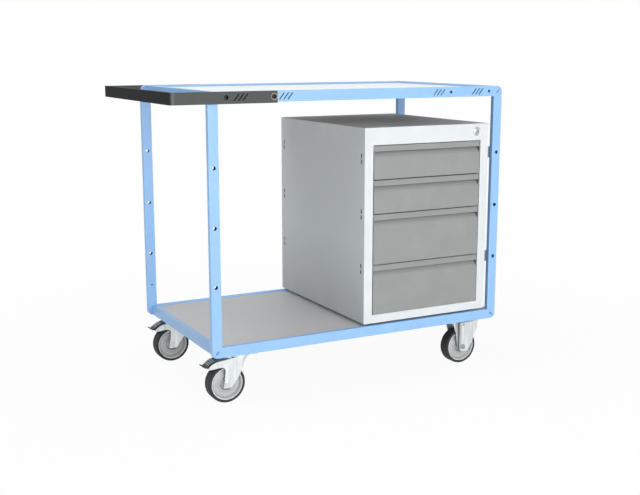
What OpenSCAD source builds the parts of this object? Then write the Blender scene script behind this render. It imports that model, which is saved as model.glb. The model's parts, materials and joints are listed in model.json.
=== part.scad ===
// Workbench tool cart: a folded tube frame on four castors, with a push
// handle, a top board, a lower shelf and a lockable cabinet of four drawers.
// X runs along the cart with the handle at the low end, Y runs to the rear and
// Z is up. The floor is Z = 0 and the cart stands centred on the Z axis.

/* [Frame] */
// Length of the front and rear tube loops
frame_len = 955; // [860:5:1200]
// Depth over the two loops
frame_dep = 554; // [554:2:700]
// Height of the loops, without the castors
frame_hgt = 722; // [690:2:900]
// Width of the tube on its broad face
tube_face = 30; // [28:1:34]
// Depth of the tube on its narrow face
tube_dep = 15; // [14:1:20]
// Wall of every tube
tube_wall = 1.5; // [1:0.25:2]
// Outer radius of the folded corners
corner_r = 16; // [10:1:20]
// Step from the side of a loop to the outer face of an end rail
end_inset = 15; // [8:1:15]
// Diameter of the accessory holes in the posts
post_hole_d = 11; // [10.6:0.1:12]
// Spacing of the accessory holes
post_hole_pitch = 161.5; // [140:0.5:165]
// Diameter of the drain holes low in the rear posts
drain_d = 5; // [3:0.5:8]
// Diameter of the fixing holes in the top rails
rail_hole_d = 8; // [7.6:0.1:9]
// Width of a slanted slit
slit_w = 3; // [1.6:0.2:4]
// Width of the diagonal seam in a folded corner
seam_w = 2.2; // [0.8:0.2:2.4]

/* [Boards] */
// Thickness of the top board
board_t = 18; // [14:1:20]
// Depth of the top board below the rims of the rails
board_recess = 6; // [4:0.5:7]
// Thickness of the lower shelf
shelf_t = 12; // [8:1:14]
// Depth of the shelf below the rims of the rails
shelf_recess = 4.5; // [2:0.5:6]
// Clearance round both panels
panel_gap = 0.6; // [0.3:0.1:1]

/* [Handle] */
// Reach of the handle beyond the frame
handle_reach = 107; // [90:1:160]
// Length of an arm along its top rail
handle_arm = 198; // [196:1:204]
// Height of the handle tube
handle_hgt = 32; // [28:1:34]
// Depth of the handle tube, which is also its bend radius
handle_dep = 12; // [12:0.5:16]

/* [Cabinet] */
// Width of the cabinet
cab_w = 433; // [425:1:450]
// Depth of the cabinet
cab_d = 545; // [535:1:545]
// Gap between the cabinet and the right posts
cab_gap = 12.5; // [10:0.5:16]
// Step from the front of the frame to the front of the cabinet
cab_setback = 5; // [0:0.5:8]
// Thickness of the cabinet sheet
sheet_t = 1.5; // [1:0.25:1.5]
// Width of the uprights beside the drawers
stile_w = 28; // [26:0.5:30]
// Height of the band above the drawers
head_h = 50; // [48:1:60]
// Height of the band below the drawers
sill_h = 25; // [20:1:28]
// Height of the feet under the cabinet
foot_h = 10.5; // [8:0.5:14]

/* [Drawers] */
// Height taken by each of the two lower drawers
deep_h = 150; // [140:1:152]
// Height taken by each of the two upper drawers
shallow_h = 100; // [96:1:102]
// Gap round a drawer front
front_gap = 1.5; // [1:0.25:2.5]
// Gap beside a drawer front
side_gap = 2.5; // [1.5:0.25:3]
// Height of the slanted grip lip
lip_h = 16; // [12:0.5:18]
// Depth of the finger scoop behind the lip
scoop_d = 13; // [11:0.5:15]
// Travel of a drawer
drawer_travel = 400; // [300:10:420]
// Height of the telescopic runners
runner_h = 45; // [40:1:46]
// Thickness of a telescopic runner
runner_t = 12.7; // [12.7:0.1:13.5]

/* [Lock] */
// Diameter of the lock rosette
lock_rosette_d = 27; // [24:0.5:32]
// Diameter of the turning barrel
lock_barrel_d = 14; // [12:0.5:15]
// Throw radius of the lock cam
lock_throw = 8; // [7:0.25:8.5]

/* [Castors] */
// Height of a castor from the floor to its top plate
castor_h = 144; // [140:1:152]
// Diameter of the wheels
wheel_d = 110; // [96:1:112]
// Width of the tyres
tyre_w = 35; // [30:1:36]
// Length of the wheel hubs between the fork cheeks
hub_len = 41; // [40:0.5:42]
// Distance from the end of the frame to a castor's middle
castor_x = 100; // [95:1:120]
// Distance from the front or rear of the frame to a castor's middle
castor_y = 55; // [52:1:62]
// Trail of the swivel castors
castor_trail = 42; // [40:1:43]
// Diameter of the axle bolts
axle_d = 10; // [8:1:12]

/* [Hidden] */
$fn = 48;
eps = 0.01;
running = 0.3;
hinge_gap = 0.05;

frame_x0 = (handle_reach - frame_len) / 2;
frame_y0 = -frame_dep / 2;
post_mid = tube_face / 2;
post_holes = [for (k = [-1 : 1]) frame_hgt / 2 + k * post_hole_pitch];
drain_z = 98;
rail_z = frame_hgt - tube_face;
rail_mid = frame_hgt - tube_face / 2;

// The cut-outs of a top rail, measured from the nearer end
outer_hole_x = 49;
inner_hole_x = 187;
outer_slits_x = 71;
inner_slits_x = 208.5;
slit_pitch = 12.5;
slit_run = 15;
slit_rise = 18;
slit_group = 2 * slit_pitch + slit_run;
seam_from = 10.5;
seam_len = 14;

panel_len = frame_len - 2 * (end_inset + tube_dep + panel_gap);
panel_dep = frame_dep - 2 * (tube_dep + panel_gap);
panel_x = end_inset + tube_dep + panel_gap;
panel_y = tube_dep + panel_gap;
shelf_top = tube_face - shelf_recess;
board_top = frame_hgt - board_recess;
cleat_len = 60;
cleat_dep = 20;
cleat_t = 3;

carrier_t = 5;
plate_len = 120;
plate_dep = 80;
plate_t = 3;
plate_bolts = [80, 60];
bolt_d = 8;
bolt_hole_d = 8.6;

handle_wall = 2;
handle_z = frame_hgt - handle_hgt;
screw_d = 6;
washer_d = 21;
washer_t = 1.6;
head_d = 12;
head_t = 5;
nut_wall_d = 0.1;

opening_w = cab_w - 2 * stile_w;
opening_h = 2 * deep_h + 2 * shallow_h;
cab_h = sill_h + opening_h + head_h;
cab_x0 = frame_len - tube_face - cab_gap - cab_w;
cab_z0 = shelf_top + foot_h;
slot_w = 6;
slot_h = 12;
slot_step = 17.6;
slot_y = 20;
return_d = 12;
bracket_t = 2.5;
bracket_h = 34;
upright_d = 26;
upright_front = sheet_t + return_d + 0.5;
upright_rear = upright_front + 456;

panel_t = 1.5;
cheek_t = 1.5;
box_t = 1.2;
box_len = 490;
box_lift = 8;
box_y = scoop_d;
runner_len = 480;
runner_y = box_y + 1;
runner_gap = 0.4;
runner_sheet = 1.2;
keeper_rise = 40;
foot_inset = [40, 45];
runner_side = 0.5;
box_w = opening_w - 2 * (runner_side + runner_t);
box_drop = 12;
rim_w = 8;
drawer_h = [deep_h, deep_h, shallow_h, shallow_h];
drawer_z = [for (k = [0 : 3]) sill_h + min(k, 2) * deep_h + max(k - 2, 0) * shallow_h];

lock_x = cab_w - stile_w - 16.5;
lock_z = cab_h - 23;
lock_body_d = 20;
lock_body_l = 36;
lock_proud = 5;
rosette_t = 2.5;
cam_t = 3;
cam_r = 12;
cam_pin_d = 4;
cam_y = lock_body_l + 0.5;
bar_t = 3;
bar_y = upright_front + upright_d + runner_gap;
bar_w = 14;
bar_x = cab_w - stile_w + 4;
lock_rise = lock_throw * sin(45);
bar_foot = 30;
lug_h = 8;
lug_reach = 12;
catch_y = bar_y + bar_t + 1.5;
catch_len = 4;
catch_reach = 9;

wheel_r = wheel_d / 2;
axle_z = wheel_r - castor_h;
leg_t = 2.5;
leg_in = hub_len / 2 + running;
leg_out = leg_in + leg_t;
race_r = 31;
race_z = -11;
crown_z = -14;
fork_nose = 22;
brake_gap = 3.4;
rib_t = 5;
kingpin_d = 12;
pedal_pin = [-62, -28];
pedal_pin_d = 6;
pedal_half = 14;
rim_r = wheel_r - 8.5;
hub_r = 12;

frame_blue = "#9ecbff";
handle_grey = "#4a4c4b";
board_white = "#f5f8f5";
shelf_grey = "#c4c4c4";
carcass_white = "#edf1f3";
drawer_grey = "#a3a5a3";
zinc = "#dfe3e3";
tyre_grey = "#3c3d3c";
rim_grey = "#a8aaaa";
pedal_steel = "#56636b";
black_plastic = "#2b2c2d";
runner_steel = "#c9ccce";

// Places

module at_frame() translate([frame_x0, frame_y0, castor_h]) children();

module at_cabinet() at_frame() translate([cab_x0, cab_setback, cab_z0]) children();

module at_drawer(k) at_cabinet() translate([stile_w, 0, drawer_z[k]]) children();

module at_castor(x, y) at_frame() translate([x, y, 0]) children();

module at_front_swivel() at_castor(castor_x, castor_y) children();

module at_rear_swivel() at_castor(castor_x, frame_dep - castor_y) children();

module at_front_rigid() at_castor(frame_len - castor_x, castor_y) children();

module at_rear_rigid() at_castor(frame_len - castor_x, frame_dep - castor_y) children();

// Basic shapes

// A cylinder along Y from y0 to y1
module y_rod(d, x, z, y0, y1, sides = $fn)
  translate([x, y0, z]) rotate([-90, 0, 0]) cylinder(d = d, h = y1 - y0, $fn = sides);

// A plate in the XZ plane with four round corners
module round_plate(w, d, h, r) {
  translate([r, 0, 0]) cube([w - 2 * r, d, h]);
  translate([0, 0, r]) cube([w, d, h - 2 * r]);
  for (x = [r, w - r], z = [r, h - r]) y_rod(2 * r, x, z, 0, d);
}

// An outline in the XZ plane, drawn as [x, z] points, from y0 to y1
module side_profile(points, y0, y1)
  translate([0, y1, 0]) rotate([90, 0, 0]) linear_extrude(y1 - y0) polygon(points);

// A hollow straight tube along Y, open at both ends
module y_tube(w, len, h) difference() {
  cube([w, len, h]);
  translate([tube_wall, -eps, tube_wall])
    cube([w - 2 * tube_wall, len + 2 * eps, h - 2 * tube_wall]);
}

// Three slanted slits, from x to the right
module slits(x, y0, y1)
  for (k = [0 : 2])
    translate([x + k * slit_pitch, y0, rail_mid - slit_rise / 2])
      rotate([0, -atan2(slit_rise, slit_run), 0])
        translate([0, 0, -slit_w / 2])
          cube([norm([slit_run, slit_rise]), y1 - y0, slit_w]);

// Frame

// One folded loop of hollow tube with its broad face at Y = 0
module tube_loop() difference() {
  round_plate(frame_len, tube_dep, frame_hgt, corner_r);
  translate([tube_face, -eps, tube_face])
    cube([frame_len - 2 * tube_face, tube_dep + 2 * eps, frame_hgt - 2 * tube_face]);
  difference() {
    translate([tube_wall, tube_wall, tube_wall])
      round_plate(frame_len - 2 * tube_wall, tube_dep - 2 * tube_wall,
                  frame_hgt - 2 * tube_wall, corner_r - tube_wall);
    translate([tube_face - tube_wall, 0, tube_face - tube_wall])
      cube([frame_len - 2 * (tube_face - tube_wall), tube_dep, frame_hgt - 2 * (tube_face - tube_wall)]);
  }
  for (x = [post_mid, frame_len - post_mid], z = post_holes)
    y_rod(post_hole_d, x, z, -eps, tube_dep + eps);
  for (x = [outer_hole_x, inner_hole_x, frame_len - inner_hole_x, frame_len - outer_hole_x])
    y_rod(rail_hole_d, x, rail_mid, -eps, tube_wall + eps);
  for (x = [outer_slits_x, inner_slits_x,
            frame_len - inner_slits_x - slit_group, frame_len - outer_slits_x - slit_group])
    slits(x, -eps, tube_wall + eps);
  corner_seams();
}

// The diagonal seam that each folded corner shows on the broad face
module corner_seams()
  for (right = [0, 1], up = [0, 1])
    translate([right * frame_len, -eps, up * frame_hgt])
      mirror([right, 0, 0]) mirror([0, 0, up])
        translate([seam_from, 0, seam_from]) rotate([0, -45, 0])
          translate([0, 0, -seam_w / 2]) cube([seam_len, tube_wall + 2 * eps, seam_w]);

module front_frame() color(frame_blue) at_frame() tube_loop();

module rear_frame() color(frame_blue) at_frame() difference() {
  translate([frame_len, frame_dep, 0]) rotate([0, 0, 180]) tube_loop();
  for (x = [post_mid, frame_len - post_mid])
    y_rod(drain_d, x, drain_z, frame_dep - tube_dep - eps, frame_dep - tube_dep + tube_wall + eps);
}

module end_rails() color(frame_blue) at_frame()
  for (x = [end_inset, frame_len - end_inset - tube_dep], z = [0, rail_z])
    translate([x, tube_dep, z]) y_tube(tube_dep, frame_dep - 2 * tube_dep, tube_face);

// An angle cleat with its upright leg on a rail at Y = 0 and its ledge at Z = 0
module cleat(drop) translate([-cleat_len / 2, 0, 0]) {
  translate([0, 0, -cleat_t]) cube([cleat_len, cleat_dep, cleat_t]);
  translate([0, 0, -drop]) cube([cleat_len, cleat_t, drop]);
}

// Six cleats round the opening that a panel drops into
module cleat_ring(drop) {
  for (x = [frame_len / 4, frame_len * 3 / 4]) {
    translate([x, tube_dep, 0]) cleat(drop);
    translate([x, frame_dep - tube_dep, 0]) rotate([0, 0, 180]) cleat(drop);
  }
  translate([end_inset + tube_dep, frame_dep / 2, 0]) rotate([0, 0, -90]) cleat(drop);
  translate([frame_len - end_inset - tube_dep, frame_dep / 2, 0]) rotate([0, 0, 90]) cleat(drop);
}

module panel_cleats() color(frame_blue) at_frame() {
  translate([0, 0, shelf_top - shelf_t]) cleat_ring(shelf_top - shelf_t - 1);
  translate([0, 0, board_top - board_t]) cleat_ring(board_top - board_t - rail_z);
}

module lower_shelf() color(shelf_grey) at_frame()
  translate([panel_x, panel_y, shelf_top - shelf_t]) cube([panel_len, panel_dep, shelf_t]);

module top_board() color(board_white) at_frame()
  translate([panel_x, panel_y, board_top - board_t]) cube([panel_len, panel_dep, board_t]);

// A corner plate that carries one castor, with its outer corner at the origin
module carrier(len, dep) difference() {
  linear_extrude(carrier_t)
    polygon([[0, 0], [len, 0], [len, dep - 25], [len - 25, dep], [0, dep]]);
  translate([castor_x - end_inset - tube_dep, castor_y - tube_dep, -eps]) bolt_holes(carrier_t + 2 * eps);
}

module bolt_holes(h)
  for (x = [-1, 1], y = [-1, 1])
    translate([x * plate_bolts[0] / 2, y * plate_bolts[1] / 2, 0]) cylinder(d = bolt_hole_d, h = h);

module castor_carriers() color(frame_blue) at_frame()
  for (right = [0, 1], rear = [0, 1])
    translate([right * frame_len, rear * frame_dep, 0]) mirror([right, 0, 0]) mirror([0, rear, 0])
      translate([end_inset + tube_dep, tube_dep, 0])
        carrier(castor_x - end_inset - tube_dep + 65, castor_y - tube_dep + 55);

// Handle

// The U of the handle in plan: inset draws it in from its outer skin
module handle_plan(inset) {
  wide = handle_dep - 2 * inset;
  end = handle_arm - inset;
  for (rear = [0, 1])
    translate([0, rear * frame_dep, 0]) mirror([0, rear, 0]) {
      translate([handle_dep - handle_reach, inset - handle_dep, 0])
        cube([end + handle_reach - handle_dep, wide, handle_hgt - 2 * inset]);
      translate([handle_dep - handle_reach, 0, 0]) intersection() {
        difference() {
          cylinder(r = handle_dep - inset, h = handle_hgt - 2 * inset);
          if (inset > 0) translate([0, 0, -1]) cylinder(r = inset, h = handle_hgt);
        }
        translate([-2 * handle_dep, -2 * handle_dep, -1])
          cube([2 * handle_dep, 2 * handle_dep, handle_hgt + 2]);
      }
    }
  translate([inset - handle_reach, 0, 0]) cube([wide, frame_dep, handle_hgt - 2 * inset]);
}

module push_handle() color(handle_grey) at_frame() difference() {
  translate([0, 0, handle_z]) handle_plan(0);
  translate([0, 0, handle_z + handle_wall]) handle_plan(handle_wall);
  for (rear = [0, 1])
    translate([0, rear * frame_dep, 0]) mirror([0, rear, 0]) {
      slits(outer_slits_x, -handle_dep - eps, handle_wall - handle_dep + eps);
      y_rod(head_d + 0.5, outer_hole_x, rail_mid, -handle_dep - eps, handle_wall - handle_dep + eps);
      y_rod(screw_d + 0.4, outer_hole_x, rail_mid, -handle_wall - eps, eps);
      y_rod(screw_d + 0.4, inner_hole_x, rail_mid, -handle_dep - eps, eps);
    }
}

// A hexagon head screw along Y: the head's seat is at y = 0 and the shank runs to len
module hex_screw(x, z, d, across, head, len) {
  y_rod(across / cos(30), x, z, -head, 0, 6);
  y_rod(d, x, z, -eps, len);
}

module handle_bolts() color(zinc) at_frame()
  for (rear = [0, 1])
    translate([0, rear * frame_dep, 0]) mirror([0, rear, 0]) {
      difference() {
        y_rod(washer_d, inner_hole_x, rail_mid, -handle_dep - washer_t, -handle_dep);
        y_rod(screw_d + 0.4, inner_hole_x, rail_mid, -handle_dep - washer_t - eps, -handle_dep + eps);
      }
      translate([0, -handle_dep - washer_t, 0]) {
        y_rod(head_d, inner_hole_x, rail_mid, -head_t, 0);
        y_rod(screw_d, inner_hole_x, rail_mid, -eps, handle_dep + washer_t + 10);
      }
      translate([0, -handle_wall, 0]) {
        y_rod(head_d - 2, outer_hole_x, rail_mid, -head_t, 0);
        y_rod(screw_d, outer_hole_x, rail_mid, -eps, handle_wall + 10);
      }
    }

// A blind rivet nut along +Y with its flange face at y = 0
module rivet_nut(x, z, hole, bore, len) difference() {
  union() {
    y_rod(hole - nut_wall_d, x, z, 0, len);
    y_rod(hole + 3, x, z, tube_wall, tube_wall + 1);
  }
  y_rod(bore + nut_wall_d, x, z, -eps, len + eps);
}

module rivet_nuts() color(zinc) at_frame() {
  for (rear = [0, 1])
    translate([0, rear * frame_dep, 0]) mirror([0, rear, 0])
      for (x = [outer_hole_x, inner_hole_x])
        rivet_nut(x, rail_mid, rail_hole_d, screw_d, tube_dep - 5);
  for (rear = [0, 1], z = [post_holes[0], post_holes[2]])
    translate([0, rear * frame_dep, 0]) mirror([0, rear, 0])
      translate([0, tube_dep, 0]) mirror([0, 1, 0])
        rivet_nut(frame_len - post_mid, z, post_hole_d, bolt_d, tube_dep - 6);
}

// Cabinet

// The pairs of hook slots in one side panel, cut along X
module hook_slots(x0, x1)
  for (y = [slot_y, cab_d - slot_y], z = post_holes, side = [-1, 1])
    translate([x0, y - slot_w / 2, z - cab_z0 + side * slot_step / 2 - slot_h / 2])
      cube([x1 - x0, slot_w, slot_h]);

module cabinet_shell() color(carcass_white) at_cabinet() difference() {
  translate([0, sheet_t, 0]) cube([cab_w, cab_d - 2 * sheet_t, cab_h]);
  translate([sheet_t, 0, sheet_t]) cube([cab_w - 2 * sheet_t, cab_d, cab_h - 2 * sheet_t]);
  hook_slots(-eps, sheet_t + eps);
  hook_slots(cab_w - sheet_t - eps, cab_w + eps);
}

module cabinet_back() color(carcass_white) at_cabinet()
  translate([0, cab_d - sheet_t, 0]) cube([cab_w, sheet_t, cab_h]);

module cabinet_front_frame() color(carcass_white) at_cabinet() difference() {
  union() {
    cube([cab_w, sheet_t, cab_h]);
    translate([stile_w - sheet_t, 0, sill_h - sheet_t])
      cube([opening_w + 2 * sheet_t, sheet_t + return_d, opening_h + 2 * sheet_t]);
  }
  translate([stile_w, -eps, sill_h]) cube([opening_w, return_d + 3, opening_h]);
  y_rod(lock_body_d + 0.2, lock_x, lock_z, -eps, sheet_t + eps);
}

// A channel that is open to the side panel and carries the runners
module upright() difference() {
  translate([sheet_t, 0, sheet_t])
    cube([stile_w + runner_side - sheet_t, upright_d, cab_h - 2 * sheet_t]);
  translate([0, sheet_t, 0])
    cube([stile_w + runner_side - sheet_t, upright_d - 2 * sheet_t, cab_h]);
}

// A strap that keeps the lock bar against the rear of an upright
module keeper() difference() {
  translate([bar_x - 2, upright_front + upright_d, -6]) cube([bar_w + 4, bar_t + 2 * runner_gap + 1.5, 12]);
  translate([bar_x - runner_gap, upright_front + upright_d - eps, -7])
    cube([bar_w + 2 * runner_gap, bar_t + 2 * runner_gap + eps, 14]);
}

module cabinet_uprights() color(carcass_white) at_cabinet() {
  for (right = [0, 1], y = [upright_front, upright_rear])
    translate([right * cab_w, y, 0]) mirror([right, 0, 0]) upright();
  for (k = [1, 3]) translate([0, 0, drawer_z[k] + keeper_rise]) keeper();
}

module cabinet_feet() color(black_plastic) at_cabinet()
  for (x = [foot_inset[0], cab_w - foot_inset[0]], y = [foot_inset[1], cab_d - foot_inset[1]])
    translate([x, y, -foot_h]) cylinder(d1 = 34, d2 = 28, h = foot_h);

// One bracket: a leg on the post, a leg on the cabinet and two hooks in its
// slots, whose middle is slot_from behind the post
module bracket(slot_from) {
  difference() {
    translate([-post_mid - cab_gap, 0, -bracket_h / 2])
      cube([2 * post_mid + cab_gap - 1, bracket_t, bracket_h]);
    y_rod(bolt_d + 0.4, 0, 0, -eps, bracket_t + eps);
  }
  translate([-post_mid - cab_gap, 0, -bracket_h / 2]) cube([bracket_t, 28, bracket_h]);
  for (side = [-1, 1])
    translate([-post_mid - cab_gap - sheet_t - 3, slot_from - 2.5, side * slot_step / 2 - slot_h / 2]) {
      translate([0, 0, 3]) cube([sheet_t + 3 + eps, 5, slot_h - 4]);
      translate([0, 0, -1]) cube([2.6, 5, slot_h]);
    }
}

module cabinet_brackets() color(frame_blue) at_frame()
  for (z = [post_holes[0], post_holes[2]]) {
    translate([frame_len - post_mid, tube_dep, z]) bracket(cab_setback + slot_y - tube_dep);
    translate([frame_len - post_mid, frame_dep - tube_dep, z]) mirror([0, 1, 0])
      bracket(frame_dep - tube_dep - cab_setback - cab_d + slot_y);
  }

module bracket_bolts() color(zinc) at_frame()
  for (rear = [0, 1], z = [post_holes[0], post_holes[2]])
    translate([0, rear * frame_dep, 0]) mirror([0, rear, 0])
      translate([0, tube_dep + bracket_t, 0]) mirror([0, 1, 0])
        hex_screw(frame_len - post_mid, z, bolt_d, 13, 5.3, 12);

// Runners

// The fixed member: a channel with lips, against an upright at x = 0
module outer_member() {
  h = runner_h / 2;
  deep = runner_t - 1.7;
  translate([0, 0, -h]) cube([runner_sheet, runner_len, runner_h]);
  for (side = [0, 1]) mirror([0, 0, side]) {
    translate([0, 0, h - runner_sheet]) cube([deep, runner_len, runner_sheet]);
    translate([deep - runner_sheet, 0, h - 2 * runner_sheet - runner_gap / 2])
      cube([runner_sheet, runner_len, runner_sheet + runner_gap]);
  }
}

// The sliding member that nests in the fixed one
module middle_member() {
  h = runner_h / 2 - runner_sheet - runner_gap;
  far = runner_t - 1.7 - runner_sheet - 0.8;
  translate([runner_sheet + 0.8, 4, -h]) cube([runner_sheet, runner_len - 10, 2 * h]);
  for (side = [0, 1]) mirror([0, 0, side])
    translate([runner_sheet + 0.8, 4, h - runner_sheet])
      cube([far - runner_sheet - 0.8, runner_len - 10, runner_sheet]);
}

// The member on the drawer, nested in the sliding one
module inner_member() {
  h = runner_h / 2 - 2 * (runner_sheet + runner_gap);
  near = 2 * runner_sheet + 0.8 + 1;
  translate([runner_t - runner_sheet, 0, -h]) cube([runner_sheet, runner_len, 2 * h]);
  for (side = [0, 1]) mirror([0, 0, side])
    translate([near, 0, h - runner_sheet]) cube([runner_t - near, runner_len, runner_sheet]);
}

// Puts a left member and its mirror image on both sides of a drawer opening
module both_sides()
  for (right = [0, 1])
    translate([right * opening_w, runner_y, box_lift + runner_h / 2 + 2.5]) mirror([right, 0, 0])
      translate([runner_side, 0, 0]) children();

module runner_outer_members() color(runner_steel)
  for (k = [0 : 3]) at_drawer(k) both_sides() outer_member();

module runner_middle(k) color(runner_steel) at_drawer(k) both_sides() middle_member();

module runner_inner(k) color(runner_steel) at_drawer(k) both_sides() inner_member();

// Drawers

// The folded section of a front in [y, z]: panel, finger scoop, back wall, top and slanted lip
function front_section(h) = [
  [0, 0], [0, h - 2 * lip_h - 2], [scoop_d - panel_t, h - lip_h - 2], [scoop_d - panel_t, h - panel_t],
  [5.2, h - panel_t], [panel_t, h - lip_h], [0, h - lip_h], [4, h], [scoop_d, h],
  [scoop_d, h - lip_h - 2.6], [panel_t, h - 2 * lip_h - 2.6], [panel_t, panel_t],
  [scoop_d, panel_t], [scoop_d, 0]
];

// The outline of an end cheek in [y, z]
function cheek_section(h) = [[0, 0], [0, h - lip_h], [4, h], [scoop_d, h], [scoop_d, 0]];

module drawer_front(k) {
  h = drawer_h[k] - 2 * front_gap;
  w = opening_w - 2 * side_gap;
  color(drawer_grey) at_drawer(k) translate([side_gap, 0, front_gap / 2]) {
    rotate([90, 0, 90]) linear_extrude(w) polygon(front_section(h));
    for (x = [0, w - cheek_t]) translate([x, 0, 0])
      rotate([90, 0, 90]) linear_extrude(cheek_t) polygon(cheek_section(h));
  }
}

module drawer_box(k) {
  h = drawer_h[k] - box_drop;
  x0 = runner_side + runner_t;
  color(drawer_grey) at_drawer(k) {
    difference() {
      translate([x0, box_y, box_lift]) cube([box_w, box_len, h]);
      translate([x0 + box_t, box_y + box_t, box_lift + box_t])
        cube([box_w - 2 * box_t, box_len - 2 * box_t, h - 2 * box_t]);
      translate([x0 + rim_w, box_y + rim_w, box_lift + box_t])
        cube([box_w - 2 * rim_w, box_len - 2 * rim_w, h]);
    }
    translate([x0 + box_w - eps, catch_y, box_lift + h - 2 * lug_h])
      cube([catch_reach, catch_len, lug_h]);
  }
}

// Lock

module lock_housing() color(zinc) at_cabinet() difference() {
  union() {
    y_rod(lock_rosette_d, lock_x, lock_z, -rosette_t, 0);
    y_rod(lock_body_d, lock_x, lock_z, -eps, lock_body_l);
    y_rod(lock_rosette_d + 1, lock_x, lock_z, sheet_t, sheet_t + 5, 6);
  }
  y_rod(lock_barrel_d + 2 * hinge_gap, lock_x, lock_z, -rosette_t - eps, lock_body_l + eps);
}

module lock_barrel() color(runner_steel) at_cabinet() difference() {
  y_rod(lock_barrel_d, lock_x, lock_z, -rosette_t - lock_proud, cam_y);
  translate([lock_x - 1, -rosette_t - lock_proud - eps, lock_z - 4.5]) cube([2, 9, 9]);
}

module lock_cam() color(runner_steel) at_cabinet() {
  y_rod(2 * cam_r, lock_x, lock_z, cam_y, cam_y + cam_t);
  y_rod(cam_pin_d, lock_x + lock_rise, lock_z + lock_rise, cam_y + cam_t - eps, bar_y + bar_t + 0.5);
}

// The bar that the cam slides: a slotted head, a long strip and one lug for each drawer
module lock_bar() color(runner_steel) at_cabinet() {
  head_x = lock_x - 2;
  head_z = lock_z + lock_rise;
  slot = cam_pin_d + 0.7;
  difference() {
    union() {
      translate([head_x, bar_y, head_z - 9]) cube([bar_x + bar_w - head_x, bar_t, 18]);
      translate([bar_x, bar_y, bar_foot]) cube([bar_w, bar_t, head_z - bar_foot]);
      for (k = [0 : 3])
        translate([bar_x - lug_reach, bar_y, drawer_z[k] + box_lift + drawer_h[k] - box_drop - lug_h + 2])
          cube([lug_reach + eps, bar_t, lug_h]);
    }
    translate([lock_x + lock_rise - slot / 2, bar_y - eps, head_z - slot / 2])
      cube([lock_throw - lock_rise + slot, bar_t + 2 * eps, slot]);
  }
}

// Castors

// The pressed top plate of a castor with four bolt holes
module top_plate() difference() {
  translate([-plate_len / 2, -plate_dep / 2, -plate_t]) {
    translate([6, 0, 0]) cube([plate_len - 12, plate_dep, plate_t]);
    translate([0, 6, 0]) cube([plate_len, plate_dep - 12, plate_t]);
    for (x = [6, plate_len - 6], y = [6, plate_dep - 6])
      translate([x, y, 0]) cylinder(r = 6, h = plate_t);
  }
  translate([0, 0, -plate_t - eps]) bolt_holes(plate_t + 2 * eps);
}

// The fixed half of a swivel castor: plate, upper race and riveted kingpin
module swivel_plate() color(zinc) {
  top_plate();
  translate([0, 0, race_z + running]) cylinder(r = race_r + 3, h = -race_z - running - plate_t + eps);
  translate([0, 0, crown_z - leg_t - running - eps]) cylinder(d = kingpin_d, h = leg_t + 4);
  translate([0, 0, crown_z - leg_t - running - 4]) cylinder(d1 = 17, d2 = 21, h = 4);
}

// The side outline of the swivel fork in [x, z]: head, leg and the horn over the wheel
function fork_section() = [
  [-29, crown_z], [fork_nose, crown_z], [fork_nose, -18], [13, -25], [2, -47.5], [-7.5, -68],
  [-24.5, -90.5], [-31, -99], [-54.5, -99], [-54.5, -96], [-51.5, -74], [-48.5, -51.5],
  [-49.5, -44], [-52, -40.5], [-56, -38.8], [-66, -37.4], [-81, -39.4], [-97, -40], [-100, -38.5],
  [-99.5, -35], [-89, -26.6], [-77, -20.8], [-59, -18.1], [-41, -17]
];

// The fork seen from above: straight cheeks and a round nose
module fork_outline(half) {
  translate([-110, -half]) square([110 + fork_nose - leg_out, 2 * half]);
  translate([fork_nose - leg_out, 0]) circle(r = half);
}

module fork_shell() difference() {
  linear_extrude(-axle_z + 20) fork_outline(leg_out);
  translate([0, 0, -1]) linear_extrude(-axle_z + 22) fork_outline(leg_in);
}

module swivel_fork() color(zinc) difference() {
  union() {
    intersection() {
      translate([0, 0, axle_z - 20]) fork_shell();
      side_profile(fork_section(), -leg_out, leg_out);
    }
    intersection() {
      translate([0, 0, crown_z - leg_t]) linear_extrude(leg_t) fork_outline(leg_out);
      translate([-29, -leg_out, crown_z - leg_t]) cube([60, 2 * leg_out, leg_t]);
    }
    translate([0, 0, crown_z - eps]) cylinder(r = race_r, h = race_z - crown_z + eps);
  }
  translate([0, 0, crown_z - 10]) cylinder(d = kingpin_d + 2 * hinge_gap, h = 20);
  y_rod(axle_d + 2 * hinge_gap, -castor_trail, axle_z, -leg_out - eps, leg_out + eps);
  y_rod(pedal_pin_d, pedal_pin[0], pedal_pin[1], -leg_out - eps, leg_out + eps);
}

// An axle bolt through two cheeks: head in front, nut behind
module axle_bolt(x, half) {
  y_rod(axle_d, x, axle_z, -half - eps, half + 7);
  y_rod(1.6 * axle_d, x, axle_z, -half - 2, -half);
  y_rod(1.5 * axle_d / cos(30), x, axle_z, half, half + 5, 6);
}

// One half of a wheel centre's section in [radius, y], from the bore to the bead
rim_half = [
  [axle_d / 2 + hinge_gap, hub_len / 2], [hub_r - 1, hub_len / 2], [hub_r, hub_len / 2 - 1],
  [19, 9], [20.5, 10.5], [22, 9], [rim_r - 7, 6], [rim_r - 3.5, 9],
  [rim_r - 2.4, tyre_w / 2 - 1], [rim_r, tyre_w / 2 - 1]
];

// One half of a tyre's section in [radius, y]
tyre_half = [
  [rim_r, tyre_w / 2 - 1], [rim_r + 2, tyre_w / 2], [rim_r + 5.5, tyre_w / 2],
  [wheel_r - 1, tyre_w / 2 - 1.5], [wheel_r, tyre_w / 2 - 3.4]
];

// A ring about an axle, revolved from one half of its section
module wheel_ring(x, half)
  translate([x, 0, axle_z]) rotate([-90, 0, 0]) rotate_extrude($fn = 96)
    polygon(concat(half, [for (k = [len(half) - 1 : -1 : 0]) [half[k][0], -half[k][1]]]));

module wheel_rim(x) color(rim_grey) wheel_ring(x, rim_half);

module wheel_tyre(x) color(tyre_grey) wheel_ring(x, tyre_half);

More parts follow.
